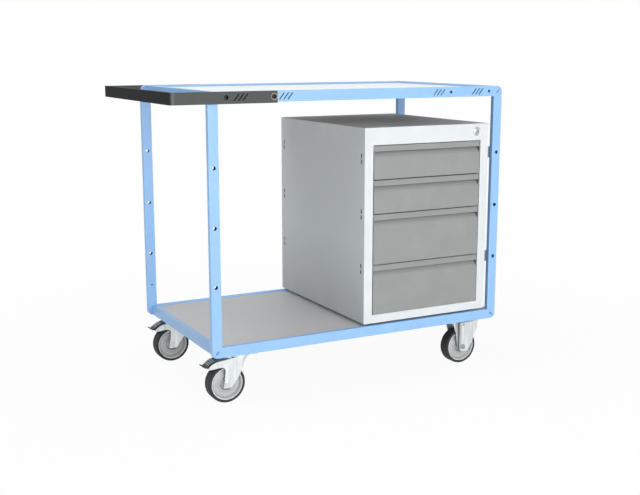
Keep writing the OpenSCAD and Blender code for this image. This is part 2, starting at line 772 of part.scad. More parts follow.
// The foot lever of the brake: a curved plate with an upturned tip, two ears on
// the fork's pin and a shoe above the tyre
module brake_pedal() color(pedal_steel) difference() {
  union() {
    side_profile([
      [-56, -11.5], [-66, -14], [-77, -17.5], [-89, -23.5], [-99, -30], [-103, -33.5], [-111.5, -29.5],
      [-113, -31.5], [-104, -37], [-100, -35.5], [-96, -31.5], [-87, -26], [-76, -20.5], [-56, -14.5]
    ], -pedal_half, pedal_half);
    for (y = [-pedal_half, pedal_half - 3])
      side_profile([
        [-56, -12], [-77, -18], [-99, -30.5], [-103, -35], [-99, -38], [-86, -43], [-66, -44],
        [-66, -34], [-56, -32]
      ], y, y + 3);
    side_profile([[-66, -30], [-81, -30], [-80, -44], [-66, -44]], 3 - pedal_half, pedal_half - 3);
    y_rod(pedal_pin_d + 6, pedal_pin[0], pedal_pin[1], -leg_in + running, leg_in - running);
  }
  y_rod(pedal_pin_d + 2 * hinge_gap, pedal_pin[0], pedal_pin[1], -leg_out, leg_out);
  y_rod(2 * (wheel_r + brake_gap), -castor_trail, axle_z, -leg_out, leg_out);
}

// The pin of the pedal, set in both cheeks of the fork, and the axle with its nut
module swivel_axle() color(zinc) {
  axle_bolt(-castor_trail, leg_out);
  y_rod(pedal_pin_d, pedal_pin[0], pedal_pin[1], -leg_out - 1, leg_out + 1);
}

// The side outline of a rigid fork's leg in [x, z]: the flange left of the joggle
// and the raised face right of it
leg_flange = [
  [-50, -plate_t / 2], [-34, -12], [-29, -28], [-24, -44], [-20.5, -66], [-17.5, -82], [-15.5, -91],
  [-12.5, -94], [-12.5, -plate_t / 2]
];
leg_face = [
  [-15, -10], [-15, -93], [-6.5, -103], [16, -105], [22, -97], [34, -77], [45, -51], [54, -27], [56, -10]
];

// A rigid castor's fork: plate and two joggled legs
module rigid_fork() difference() {
  union() {
    top_plate();
    for (side = [0, 1]) mirror([0, side, 0]) {
      side_profile(leg_flange, leg_in, leg_out);
      side_profile([[-15, -plate_t / 2], [52, -plate_t / 2], [56, -10], [56, -12.5], [-15, -12.5]],
                   leg_in, leg_out);
      side_profile([[-15, -10], [56, -10], [55, -12.5], [-15, -12.5]], leg_in, leg_out + rib_t);
      side_profile([[-15, -10], [-12.5, -10], [-12.5, -95.5], [-15, -93]], leg_in, leg_out + rib_t);
      side_profile(leg_face, leg_in + rib_t, leg_out + rib_t);
      y_rod(2 * axle_d, 0, axle_z, leg_in, leg_in + rib_t + eps);
    }
  }
  y_rod(axle_d + 2 * hinge_gap, 0, axle_z, -40, 40);
  y_rod(9, 0, -17, -40, 40);
}

module rigid_forks() color(zinc) {
  at_front_rigid() rigid_fork();
  at_rear_rigid() rigid_fork();
}

module rigid_axles() color(zinc) {
  at_front_rigid() axle_bolt(0, leg_out + rib_t);
  at_rear_rigid() axle_bolt(0, leg_out + rib_t);
}

module castor_bolts() color(zinc)
  for (place = [0 : 3])
    translate([
      frame_x0 + (place < 2 ? castor_x : frame_len - castor_x),
      frame_y0 + (place % 2 == 0 ? castor_y : frame_dep - castor_y), castor_h
    ])
      for (x = [-1, 1], y = [-1, 1])
        translate([x * plate_bolts[0] / 2, y * plate_bolts[1] / 2, 0]) {
          translate([0, 0, -plate_t - 5.3]) cylinder(d = 13 / cos(30), h = 5.3, $fn = 6);
          translate([0, 0, -plate_t - eps]) cylinder(d = bolt_d, h = plate_t + carrier_t + 7);
          translate([0, 0, carrier_t]) cylinder(d = 13 / cos(30), h = 6, $fn = 6);
        }

front_frame();
rear_frame();
end_rails();
panel_cleats();
castor_carriers();
lower_shelf();
top_board();
push_handle();
handle_bolts();
rivet_nuts();
cabinet_shell();
cabinet_back();
cabinet_front_frame();
cabinet_uprights();
cabinet_feet();
cabinet_brackets();
bracket_bolts();
runner_outer_members();
lock_housing();
lock_barrel();
lock_cam();
lock_bar();
drawer_front(0);  // drawer_1_front
drawer_box(0);  // drawer_1_box
runner_inner(0);  // drawer_1_inner_members
runner_middle(0);  // drawer_1_middle_members
drawer_front(1);  // drawer_2_front
drawer_box(1);  // drawer_2_box
runner_inner(1);  // drawer_2_inner_members
runner_middle(1);  // drawer_2_middle_members
drawer_front(2);  // drawer_3_front
drawer_box(2);  // drawer_3_box
runner_inner(2);  // drawer_3_inner_members
runner_middle(2);  // drawer_3_middle_members
drawer_front(3);  // drawer_4_front
drawer_box(3);  // drawer_4_box
runner_inner(3);  // drawer_4_inner_members
runner_middle(3);  // drawer_4_middle_members
castor_bolts();
at_front_swivel() swivel_plate();  // front_swivel_plate
at_front_swivel() swivel_fork();  // front_swivel_fork
at_front_swivel() swivel_axle();  // front_swivel_axle
at_front_swivel() wheel_rim(-castor_trail);  // front_swivel_rim
at_front_swivel() wheel_tyre(-castor_trail);  // front_swivel_tyre
at_front_swivel() brake_pedal();  // front_swivel_pedal
at_rear_swivel() swivel_plate();  // rear_swivel_plate
at_rear_swivel() swivel_fork();  // rear_swivel_fork
at_rear_swivel() swivel_axle();  // rear_swivel_axle
at_rear_swivel() wheel_rim(-castor_trail);  // rear_swivel_rim
at_rear_swivel() wheel_tyre(-castor_trail);  // rear_swivel_tyre
at_rear_swivel() brake_pedal();  // rear_swivel_pedal
rigid_forks();
rigid_axles();
at_front_rigid() wheel_rim(0);  // front_rigid_rim
at_front_rigid() wheel_tyre(0);  // front_rigid_tyre
at_rear_rigid() wheel_rim(0);  // rear_rigid_rim
at_rear_rigid() wheel_tyre(0);  // rear_rigid_tyre
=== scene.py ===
import json
import math
import bmesh
import bpy
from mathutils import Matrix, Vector

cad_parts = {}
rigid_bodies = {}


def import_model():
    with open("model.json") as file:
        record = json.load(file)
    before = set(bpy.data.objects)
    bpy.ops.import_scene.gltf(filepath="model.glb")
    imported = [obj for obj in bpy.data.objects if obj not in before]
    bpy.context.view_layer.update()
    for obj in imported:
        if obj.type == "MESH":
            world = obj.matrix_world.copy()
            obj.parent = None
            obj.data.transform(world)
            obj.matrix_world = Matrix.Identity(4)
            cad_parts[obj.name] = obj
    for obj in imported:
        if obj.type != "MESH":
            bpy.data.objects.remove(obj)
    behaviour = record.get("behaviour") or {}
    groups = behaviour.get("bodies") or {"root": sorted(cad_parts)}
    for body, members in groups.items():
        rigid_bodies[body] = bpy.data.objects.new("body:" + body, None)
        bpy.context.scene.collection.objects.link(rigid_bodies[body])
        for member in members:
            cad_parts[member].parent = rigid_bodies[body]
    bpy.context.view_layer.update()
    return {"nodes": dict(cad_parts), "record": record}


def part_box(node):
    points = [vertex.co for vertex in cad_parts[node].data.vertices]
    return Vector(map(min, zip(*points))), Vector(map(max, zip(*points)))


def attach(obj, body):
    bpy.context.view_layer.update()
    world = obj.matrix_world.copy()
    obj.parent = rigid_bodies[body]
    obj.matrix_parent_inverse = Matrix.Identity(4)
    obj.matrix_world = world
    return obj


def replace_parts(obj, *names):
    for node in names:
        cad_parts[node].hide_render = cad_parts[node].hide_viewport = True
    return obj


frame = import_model()
nodes = frame["nodes"]
bodyOf = {name: obj.parent.name.split(":", 1)[1] for name, obj in nodes.items()}
slotOf = {part["node"]: part["material_slot"] for part in frame["record"]["subparts"]}
print("loaded", len(nodes), "nodes")

# camera: its place, how far it looks down and to the right, and its focal length in pixels
view = {"place": (-1.41768, -2.77073, 0.97474), "down": 0.19212, "right": 0.48849, "pixels": 1019.83,
        "picture": 640, "sensor": 36.0, "far": 60}
camera = bpy.data.objects.new("camera", bpy.data.cameras.new("camera"))
camera.data.sensor_fit = "HORIZONTAL"
camera.data.sensor_width = view["sensor"]
camera.data.lens = view["pixels"] * view["sensor"] / view["picture"]
camera.data.clip_end = view["far"]
camera.location = view["place"]
camera.rotation_euler = (math.pi / 2 - view["down"], 0, -view["right"])
bpy.context.scene.collection.objects.link(camera)
bpy.context.scene.camera = camera
bpy.context.scene.view_settings.view_transform = "Standard"
print("camera set")


# shader maths: an expression on wires adds its Math nodes
class Wire:
    def __init__(self, tree, socket):
        self.tree, self.socket = tree, socket

    def join(self, operation, *values):  # one Math node
        node = self.tree.node("ShaderNodeMath", {"operation": operation}, dict(enumerate(values)))
        return Wire(self.tree, node.outputs[0])

    def __add__(self, other):
        return self.join("ADD", self, other)

    def __sub__(self, other):
        return self.join("SUBTRACT", self, other)

    def __rsub__(self, other):
        return self.join("SUBTRACT", other, self)

    def __mul__(self, other):
        return self.join("MULTIPLY", self, other)

    def __pow__(self, other):
        return self.join("POWER", self, other)

    def __gt__(self, other):
        return self.join("GREATER_THAN", self, other)

    def __lt__(self, other):
        return self.join("LESS_THAN", self, other)

    def __abs__(self):
        return self.join("ABSOLUTE", self)

    def clamp(self):
        wire = self.join("ADD", self, 0.0)
        wire.socket.node.use_clamp = True
        return wire

    def above(self, start, slope):  # nothing up to the start, then rises to one
        return ((self - start) * slope).clamp()

    def below(self, start, slope):
        return ((start - self) * slope).clamp()

    def near(self, middle, width):  # one at the middle, nothing a width away
        return (1 - abs(self - middle) * (1 / width)).clamp()


class Tree:
    # any node tree; node() sets a node's properties, and links or fills its inputs
    def __init__(self, tree):
        self.nodes, self.links = tree.nodes, tree.links
        self.nodes.clear()

    def node(self, kind, settings=None, sockets=None):
        made = self.nodes.new(kind)
        for key, value in (settings or {}).items():
            setattr(made, key, value)
        for key, value in (sockets or {}).items():
            source = value.socket if isinstance(value, Wire) else value
            if isinstance(source, bpy.types.NodeSocket):
                self.links.new(source, made.inputs[key])
            else:
                made.inputs[key].default_value = source
        return made


class ShaderTree(Tree):
    def __init__(self, tree, output):
        super().__init__(tree)
        self.output = self.node(output).inputs[0]
        self.place = self.node("ShaderNodeTexCoord").outputs["Object"]

    def wire(self, socket):
        return Wire(self, socket)

    def noise(self, scale, detail, rough, stretch=None, seed=0.0):
        place = self.place
        if stretch or seed:
            place = self.node("ShaderNodeMapping", None, {
                "Vector": self.place, "Scale": stretch or (1, 1, 1), "Location": (seed, seed * 0.7, -seed)
            }).outputs[0]
        made = self.node("ShaderNodeTexNoise", None,
                         {"Vector": place, "Scale": scale, "Detail": detail, "Roughness": rough})
        return self.wire(made.outputs[0])

    def cells(self, scale):  # a random tone for each crystal
        made = self.node("ShaderNodeTexVoronoi", None, {"Vector": self.place, "Scale": scale})
        return self.wire(self.node("ShaderNodeSeparateColor", None, {0: made.outputs["Color"]}).outputs[0])

    def blend(self, amount, first, second):
        mixed = self.node("ShaderNodeMix", {"data_type": "RGBA"}, {0: amount, 6: first, 7: second})
        return mixed.outputs[2]

    def axes(self):
        split = self.node("ShaderNodeSeparateXYZ", None, {"Vector": self.place})
        return [self.wire(socket) for socket in split.outputs]

    def attribute(self, name):
        return self.wire(self.node("ShaderNodeAttribute", {"attribute_name": name}).outputs["Fac"])


class Finish(ShaderTree):
    def __init__(self, name, colour, **shader):
        self.material = bpy.data.materials.new(name)
        self.material.use_nodes = True
        super().__init__(self.material.node_tree, "ShaderNodeOutputMaterial")
        self.colour = linear(colour)
        self.material.diffuse_color = (*self.colour, 1)
        sockets = {socket.replace("_", " "): value for socket, value in shader.items()}
        sockets["Base Color"] = (*self.colour, 1)
        self.shader = self.node("ShaderNodeBsdfPrincipled", None, sockets)
        self.links.new(self.shader.outputs[0], self.output)

    def tone(self, factor):
        return (*[min(channel * factor, 1.0) for channel in self.colour], 1)

    def set(self, socket, value):
        self.links.new(value.socket if isinstance(value, Wire) else value, self.shader.inputs[socket])

    def bump(self, height, distance):
        made = self.node("ShaderNodeBump", None, {"Height": height, "Distance": distance, "Strength": 1.0})
        self.links.new(made.outputs[0], self.shader.inputs["Normal"])


def linear(colour):  # a hexadecimal colour on the sRGB curve, as linear light
    parts = [int(colour[k:k + 2], 16) / 255 for k in (1, 3, 5)]
    return tuple(c / 12.92 if c <= 0.04045 else ((c + 0.055) / 1.055) ** 2.4 for c in parts)


# finishes: colours of what shows through or lies on them, then how far a coat is worn and soiled and how
# strong its painted shade and highlights are, as amounts and as tones of its own colour
under = {"dust": (0.42, 0.40, 0.37, 1), "bareSteel": (0.55, 0.53, 0.5, 1), "crystal": (0.62, 0.64, 0.60, 1),
         "driedOil": (0.05, 0.042, 0.036, 1), "treadDust": (0.16, 0.155, 0.145, 1),
         "boardDark": (0.16, 0.13, 0.10, 1), "boardPale": (0.36, 0.31, 0.25, 1)}
wearAndShade = {"dull": 0.965, "fresh": 1.03, "dustFrom": 0.5, "dustSlope": 2.0, "rubbed": 0.35, "rubbedTone": 1.25,
        "barShade": 0.86, "barShadeTone": 0.2, "bareCut": 0.75, "armFace": 0.276, "bendHighlightTone": 2.6,
        "darkTone": 0.3, "scoopEndShade": 0.9, "scoopEndShadeTone": 0.06, "raw": 0.94}
laminate = {"scuffed": 0.16, "scuffTone": 0.72, "rawRough": 0.4}
plating = {"dark": 0.9, "pale": 1.05, "streaked": 0.7, "streakTone": 0.7, "crystals": 0.14,
           "paintedShadeTone": 0.1, "keyTone": 0.01}
relief = {"board": 0.00004, "plate": 0.00005, "oxide": 0.00004, "mould": 0.00005, "rubber": 0.00008}


def inBox(axes, start, end):
    within = (axes[0] > start[0]) * (axes[0] < end[0])
    for axis, low, high in zip(axes[1:], start[1:], end[1:]):
        within = within * (axis > low) * (axis < high)
    return within


def powderCoat(name, colour, peel, rough, grain=900.0, dust=0.03, gloss=0.45, inside=(0.012, 0.014, 0.016),
               grip=None, shadeBoxes=(), scoopEndShade=None, lowShade=None):
    # fine orange peel, a slight drift in shade, rubbed edges, and dust that lies thicker low down;
    # the inside of a tube is thinly coated and darkened as painted shade, and the grip takes a painted shade
    # and a painted highlight, and its cut ends show bare
    coat = Finish(name, colour, Specular_IOR_Level=gloss)
    drift = coat.noise(scale=3.2, detail=3.0, rough=0.55)
    fleck = coat.noise(scale=grain * 0.55, detail=1.0, rough=0.4, seed=4.0)
    blotches = coat.noise(scale=14.0, detail=5.0, rough=0.62, seed=2.0)
    shade = coat.blend((drift * 0.7 + fleck * 0.3).clamp(), coat.tone(wearAndShade["dull"]), coat.tone(wearAndShade["fresh"]))
    x, y, high = axes = coat.axes()
    dusty = high.below(wearAndShade["dustFrom"], wearAndShade["dustSlope"]) * blotches.above(0.45, 4.0) * dust
    shade = coat.blend(dusty, shade, under["dust"])
    rubbed = coat.attribute("rolled") * blotches.above(0.42, 3.0) * wearAndShade["rubbed"]
    shade = coat.blend(rubbed, shade, coat.tone(wearAndShade["rubbedTone"]))
    if grip:  # painted shade darkens the bar, a painted highlight lights the bend, and the cut ends show bare
        barShade = x.below(grip["bar"], grip["slope"]) * wearAndShade["barShade"]
        shade = coat.blend(barShade, shade, coat.tone(wearAndShade["barShadeTone"]))
        shade = coat.blend((x > grip["cut"]) * wearAndShade["bareCut"], shade, under["bareSteel"])
        # a painted highlight along the handle's bend
        bendHighlight = x.near(grip["bend"], grip["reach"]) * (abs(y) > wearAndShade["armFace"])
        shade = coat.blend(bendHighlight * (blotches * 0.3 + 0.3), shade, coat.tone(wearAndShade["bendHighlightTone"]))
    for start, end, amount in shadeBoxes:  # painted shade in each box
        paintedShade = inBox(axes, start, end) * (blotches * 0.2 + 0.9) * amount
        shade = coat.blend(paintedShade, shade, coat.tone(wearAndShade["darkTone"]))
    if lowShade:  # painted shade on the cabinet's left side, darker towards the bottom
        lowShaded = (x < lowShade["face"]) * high.below(lowShade["top"], 1 / lowShade["reach"]) * lowShade["amount"]
        shade = coat.blend(lowShaded, shade, coat.tone(wearAndShade["darkTone"]))
    # painted shade in the drawer scoops, and the pedals darker towards their tips
    grime = coat.attribute("grime")
    shade = coat.blend((grime * (blotches * 0.3 + 0.32)).clamp(), shade, coat.tone(wearAndShade["darkTone"]))
    if scoopEndShade:  # painted shade in the right end of a scoop
        scoopEndShaded = (grime * 3.0).clamp() * x.above(scoopEndShade["from"], scoopEndShade["slope"]) * wearAndShade["scoopEndShade"]
        shade = coat.blend(scoopEndShaded, shade, coat.tone(wearAndShade["scoopEndShadeTone"]))
    # a tube's thin inside coat, darkened to a painted shade
    shade = coat.blend(coat.attribute("raw") * wearAndShade["raw"], shade, (*inside, 1))
    coat.set("Base Color", shade)
    coat.set("Roughness", (drift * 0.12 + fleck * 0.05 + (rough - 0.08)).clamp())
    orange = coat.noise(scale=grain, detail=2.0, rough=0.45) * 0.6
    dimple = coat.noise(scale=grain * 0.28, detail=1.0, rough=0.5, seed=1.0) * 0.4
    coat.bump(orange + dimple, peel)
    return coat.material


def boardFace(name, colour, speckle, rough, gloss, backing):
    # melamine: a pressed pearl structure, faint fibres, fine scuffs and rubbed lanes;
    # raw backing underneath
    face = Finish(name, colour, Specular_IOR_Level=gloss)
    fibre = face.noise(scale=420.0, detail=3.0, rough=0.6, stretch=(0.18, 1, 1))
    pearl = face.noise(scale=1500.0, detail=2.0, rough=0.5)
    cloud = face.noise(scale=2.6, detail=4.0, rough=0.6, seed=3.0)
    along = face.noise(scale=60.0, detail=3.0, rough=0.7, stretch=(0.12, 2.2, 1), seed=6.0)
    across = face.noise(scale=75.0, detail=3.0, rough=0.7, stretch=(1.9, 0.16, 1), seed=9.0)
    marks = along.above(0.66, 9.0) + across.above(0.67, 9.0)
    tint = face.blend((fibre * 0.5 + cloud * 0.5).clamp(),
                      face.tone(1 - speckle), face.tone(1 + speckle * 0.5))
    scuffed = face.blend((marks * laminate["scuffed"]).clamp(), tint, face.tone(laminate["scuffTone"]))
    chips = face.blend(face.noise(scale=190.0, detail=4.0, rough=0.7, stretch=(0.5, 1, 1), seed=2.0),
                       under["boardDark"], under["boardPale"])
    raw = face.axes()[2] < backing
    face.set("Base Color", face.blend(raw, scuffed, chips))
    rawRough = raw * laminate["rawRough"]
    face.set("Roughness", (cloud * 0.16 - marks * 0.08 + rawRough + (rough - 0.06)).clamp())
    face.bump(pearl * 0.7 + fibre * 0.3 - marks * 0.25, relief["board"])
    return face.material


def zincPlate(name, colour, rough, spangle=300.0, keyway=None):
    # bright plating: cloudy crystals, a cool and warm drift, fine drawing lines; a keyway's shade is painted
    # near black
    plate = Finish(name, colour, Metallic=0.86)
    tone = plate.cells(spangle)
    cloud = plate.noise(scale=24.0, detail=4.0, rough=0.6)
    drawn = plate.noise(scale=700.0, detail=2.0, rough=0.6, stretch=(1, 1, 0.06))
    streak = plate.noise(scale=95.0, detail=2.0, rough=0.5, stretch=(1, 1, 0.1), seed=3.0)
    shade = plate.blend((cloud * 1.4 - 0.2).clamp(), plate.tone(plating["dark"]), plate.tone(plating["pale"]))
    streaked = streak.above(0.4, 3.6) * plating["streaked"]
    shade = plate.blend(streaked, shade, plate.tone(plating["streakTone"]))
    shade = plate.blend((tone * plating["crystals"]).clamp(), shade, under["crystal"])
    # painted shade on the step of a rigid fork's joggle
    grime = plate.attribute("grime") * (cloud * 0.3 + 0.6)
    shade = plate.blend(grime, shade, plate.tone(plating["paintedShadeTone"]))
    # painted shade: the keyway drawn near black
    if keyway:
        x, _, high = plate.axes()
        across = abs(x - keyway["x"]) < keyway["halfWide"]
        along = abs(high - keyway["high"]) < keyway["halfTall"]
        shade = plate.blend(across * along, shade, plate.tone(plating["keyTone"]))
    plate.set("Base Color", shade)
    plate.set("Roughness", (cloud * 0.16 + tone * 0.06 + drawn * 0.05 + (rough - 0.1)).clamp())
    plate.bump(drawn * 0.6 + cloud * 0.4, relief["plate"])
    return plate.material


def oxideSteel(name, colour, brown=0.4):
    # blackened steel, brown where the oil has dried
    steel = Finish(name, colour, Metallic=0.25, Specular_IOR_Level=0.25)
    patch = steel.noise(scale=260.0, detail=3.0, rough=0.6)
    oiled = patch.above(0.4, 2.0) * brown
    steel.set("Base Color", steel.blend(oiled, steel.tone(1.0), under["driedOil"]))
    steel.set("Roughness", (patch * 0.25 + 0.32).clamp())
    steel.bump(steel.noise(scale=1500.0, detail=2.0, rough=0.5), relief["oxide"])
    return steel.material


def mouldedPlastic(name, colour, rough, bead=None):
    # spark-eroded mould face with flow marks; a wheel's bead takes a painted highlight, its grooves a painted
    # shade, and the front castors' discs a painted shade
    plastic = Finish(name, colour, Specular_IOR_Level=0.4)
    grain = plastic.noise(scale=2200.0, detail=2.0, rough=0.5)
    flow = plastic.noise(scale=36.0, detail=4.0, rough=0.6, seed=5.0)
    body = plastic.blend(flow, plastic.tone(0.93), plastic.tone(1.05))
    if bead:
        fromAxle = plastic.attribute("fromAxle")
        pale, rimShadeTone = (*linear(bead["colour"]), 1), plastic.tone(bead["rimShadeTone"])
        # painted highlight on the bead
        body = plastic.blend(fromAxle.above(bead["from"], bead["slope"]), body, pale)
        # painted shade in the grooves
        for radius, width, depth in bead["grooves"]:
            grooveShade = fromAxle.near(radius, width) * (flow * 0.8 + 0.5).clamp() * depth
            body = plastic.blend(grooveShade, body, rimShadeTone)
        # painted shade on the front castors' discs
        front = (plastic.axes()[1] < 0) * (flow * 0.3 + 0.1)
        body = plastic.blend(front, body, rimShadeTone)
    plastic.set("Base Color", body)
    plastic.set("Roughness", (flow * 0.15 + grain * 0.08 + (rough - 0.1)).clamp())
    plastic.bump(grain, relief["mould"])
    return plastic.material


def tyreRubber(name, colour):
    # solid rubber: matt, a little dusty on the tread, with mould texture
    rubber = Finish(name, colour, Specular_IOR_Level=0.35)
    grain = rubber.noise(scale=1400.0, detail=3.0, rough=0.6)
    dust = rubber.noise(scale=42.0, detail=5.0, rough=0.65, seed=8.0)
    dusty = dust.above(0.48, 2.4) * 0.32
    rubber.set("Base Color", rubber.blend(dusty, rubber.tone(1.0), under["treadDust"]))
    rubber.set("Roughness", (dust * 0.2 + grain * 0.08 + 0.56).clamp())
    rubber.bump(grain * 0.7 + dust * 0.3, relief["rubber"])
    return rubber.material


# boxes of painted shade, each with its amount: the frame's inner faces, rail tops and corner seams, and the
# cabinet's hollow behind its hook slots
frameShadeBoxes = (((0.5006, -0.28, 0.175), (0.5014, 0.28, 0.835), 0.5),
              ((-0.41, 0.2616, 0.8655), (0.54, 0.278, 0.868), 0.5),
              ((0.49, -0.2616, 0.8655), (0.54, 0.2616, 0.868), 0.55),
              ((-0.4165, -0.27695, 0.1515), (-0.3962, -0.262, 0.1718), 1.0),
              ((0.5032, -0.27695, 0.1515), (0.5235, -0.262, 0.1718), 1.0),
              ((0.5032, -0.27695, 0.8382), (0.5235, -0.262, 0.8585), 1.0))
cabinetShadeBoxes = (((0.0559, -0.2695, 0.182), (0.072, 0.2705, 0.753), 1.0),
                ((0.472, -0.2695, 0.182), (0.4881, 0.2705, 0.753), 1.0))
sideLowShade = {"face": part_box("cabinet_shell")[0][0] + 0.0002, "top": 0.42, "reach": 0.24, "amount": 0.36}
handleGrip = {"bar": -0.5255, "slope": 250.0, "cut": -0.2272, "bend": -0.5215, "reach": 0.0048}
scoopEnd = {"from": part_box("drawer_1_front")[1][0] - 0.007, "slope": 160.0}
lockPlace = {"x": 0.444, "high": 0.732}
keyway = {**lockPlace, "halfWide": 0.0016, "halfTall": 0.005}
# each groove of a wheel has a radius, a width and a depth of painted shade
wheelBead = {"from": 0.0427, "slope": 1600.0, "colour": "#f8f8f8", "rimShadeTone": 0.28,
             "grooves": ((0.0185, 0.0028, 1.0), (0.0132, 0.0018, 0.6), (0.0405, 0.0034, 0.55),
                         (0.0255, 0.0022, 0.25))}
backing = {name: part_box(name)[0][2] + 0.0004 for name in ("top_board", "lower_shelf")}
makers = {
    "frame_paint": (powderCoat, {"colour": "#9ac8fb", "peel": 0.00005, "rough": 0.36,
                                 "inside": (0.013, 0.046, 0.11), "shadeBoxes": frameShadeBoxes}),
    "handle_paint": (powderCoat, {"colour": "#5a5d5c", "peel": 0.00008, "rough": 0.7, "gloss": 0.04,
                                  "grip": handleGrip}),
    "carcass_paint": (powderCoat, {"colour": "#e4e9eb", "peel": 0.00007, "rough": 0.6, "grain": 1300.0,
                                   "gloss": 0.15, "shadeBoxes": cabinetShadeBoxes, "lowShade": sideLowShade}),
    "drawer_paint": (powderCoat, {"colour": "#959897", "peel": 0.00007, "rough": 0.5, "grain": 1300.0,
                                  "dust": 0.008, "scoopEndShade": scoopEnd}),
    "pedal_steel": (powderCoat, {"colour": "#56636b", "peel": 0.00005, "rough": 0.45}),
    "board_laminate": (boardFace, {"colour": "#f8fbf8", "speckle": 0.02, "rough": 0.3, "gloss": 0.5,
                                   "backing": backing["top_board"]}),
    "shelf_laminate": (boardFace, {"colour": "#e0e0e0", "speckle": 0.05, "rough": 0.5, "gloss": 0.35,
                                   "backing": backing["lower_shelf"]}),
    "zinc": (zincPlate, {"colour": "#e1e6e7", "rough": 0.36, "spangle": 110.0}),
    "dark_steel": (oxideSteel, {"colour": "#232629"}),
    "runner_steel": (zincPlate, {"colour": "#c9ccce", "rough": 0.3, "spangle": 190.0}),
    "ringPlate": (zincPlate, {"colour": "#a3958b", "rough": 0.45}),
    "lockPlate": (zincPlate, {"colour": "#d6dadb", "rough": 0.28, "keyway": keyway}),
    "axlePlate": (zincPlate, {"colour": "#dbe0e2", "rough": 0.32}),
    "nutPlate": (zincPlate, {"colour": "#9a9fa1", "rough": 0.4}),
    "treadSteel": (powderCoat, {"colour": "#c4c9cb", "peel": 0.00005, "rough": 0.4}),
    "bracketPaint": (powderCoat, {"colour": "#7c8590", "peel": 0.00006, "rough": 0.5}),
    "nutSteel": (oxideSteel, {"colour": "#4676b0", "brown": 0.12}),
    "rim_plastic": (mouldedPlastic, {"colour": "#d8dada", "rough": 0.5, "bead": wheelBead}),
    "black_plastic": (mouldedPlastic, {"colour": "#2b2c2d", "rough": 0.45}),
    "tyre_rubber": (tyreRubber, {"colour": "#303131"}),
}
finishes = {name: maker(name, **values) for name, (maker, values) in makers.items()}
# the rigid axles' darker plate is a painted shade on their nuts
ownFinish = {"lock_barrel": "lockPlate", "rigid_axles": "nutPlate", "front_swivel_axle": "axlePlate",
             "rear_swivel_axle": "axlePlate", "cabinet_brackets": "bracketPaint", "rivet_nuts": "nutSteel",
             "bracket_bolts": "nutSteel"}
for name, obj in nodes.items():
    obj.data.materials.clear()
    obj.data.materials.append(finishes[ownFinish.get(name, slotOf[name])])
print("finishes made")


# making pieces
def addPiece(name, mesh, body, slotName, smooth=40, finish=None):
    piece = bpy.data.objects.new(name, mesh)
    bpy.context.scene.collection.objects.link(piece)
    if not mesh.materials:
        mesh.materials.append(finish or finishes[slotName])
    mesh.shade_smooth()
    mesh.set_sharp_from_angle(angle=math.radians(smooth))
    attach(piece, body)
    return piece


rolling = {"merge": 2e-5, "flat": math.radians(0.5), "sharp": math.radians(38), "longer": 0.008, "steps": 2}


def softened(name, radius, pick=None, clamp=True, marks=None, whole=True):
    # a merged copy of a CAD node, its long sharp edges rolled over as sheet and tube are
    shape = bmesh.new()
    shape.from_mesh(nodes[name].data)
    bmesh.ops.remove_doubles(shape, verts=shape.verts, dist=rolling["merge"])
    if whole:
        bmesh.ops.dissolve_limit(shape, angle_limit=rolling["flat"], verts=shape.verts, edges=shape.edges)
    sharp = [edge for edge in shape.edges if len(edge.link_faces) == 2
             and edge.calc_face_angle(0) > rolling["sharp"]
             and (pick(edge) if pick else edge.calc_length() > rolling["longer"])]
    rolled = shape.verts.layers.float.new("rolled")
    made = bmesh.ops.bevel(shape, geom=sharp, offset=radius, offset_type="OFFSET",
                           segments=rolling["steps"], profile=0.5, affect="EDGES",
                           clamp_overlap=clamp, material=-1)
    for vert in made["verts"]:
        vert[rolled] = 1.0
    for mark, amount in (marks or {}).items():
        layer = shape.verts.layers.float.new(mark)
        for vert in shape.verts:
            vert[layer] = amount(vert.co)
    mesh = bpy.data.meshes.new(name + "_rounded")
    shape.to_mesh(mesh)
    shape.free()
    piece = addPiece(name + "_rounded", mesh, bodyOf[name], slotOf[name],
                     finish=finishes.get(ownFinish.get(name)))
    even = piece.modifiers.new("even", "WEIGHTED_NORMAL")
    even.keep_sharp = True
    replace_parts(piece, name)


def revolved(name, section, centre, turns=96):
    # section is a closed loop of (radius, across) in mm, turned about an axle along Y
    mesh = bpy.data.meshes.new(name)
    points, faces, fromAxle = [], [], []
    count = len(section)
    for step in range(turns):
        angle = 2 * math.pi * step / turns
        for radius, across in section:
            points.append((centre[0] + radius / 1000 * math.cos(angle), centre[1] + across / 1000,
                           centre[2] + radius / 1000 * math.sin(angle)))
            fromAxle.append(radius / 1000)
    for step in range(turns):
        here, there = step * count, (step + 1) % turns * count
        for k in range(count):
            after = (k + 1) % count
            faces.append((here + k, here + after, there + after, there + k))
    mesh.from_pydata(points, [], faces)
    values = mesh.attributes.new("fromAxle", "FLOAT", "POINT")
    values.data.foreach_set("value", fromAxle)
    shape = bmesh.new()
    shape.from_mesh(mesh)
    bmesh.ops.recalc_face_normals(shape, faces=shape.faces)
    shape.to_mesh(mesh)
    shape.free()
    return mesh


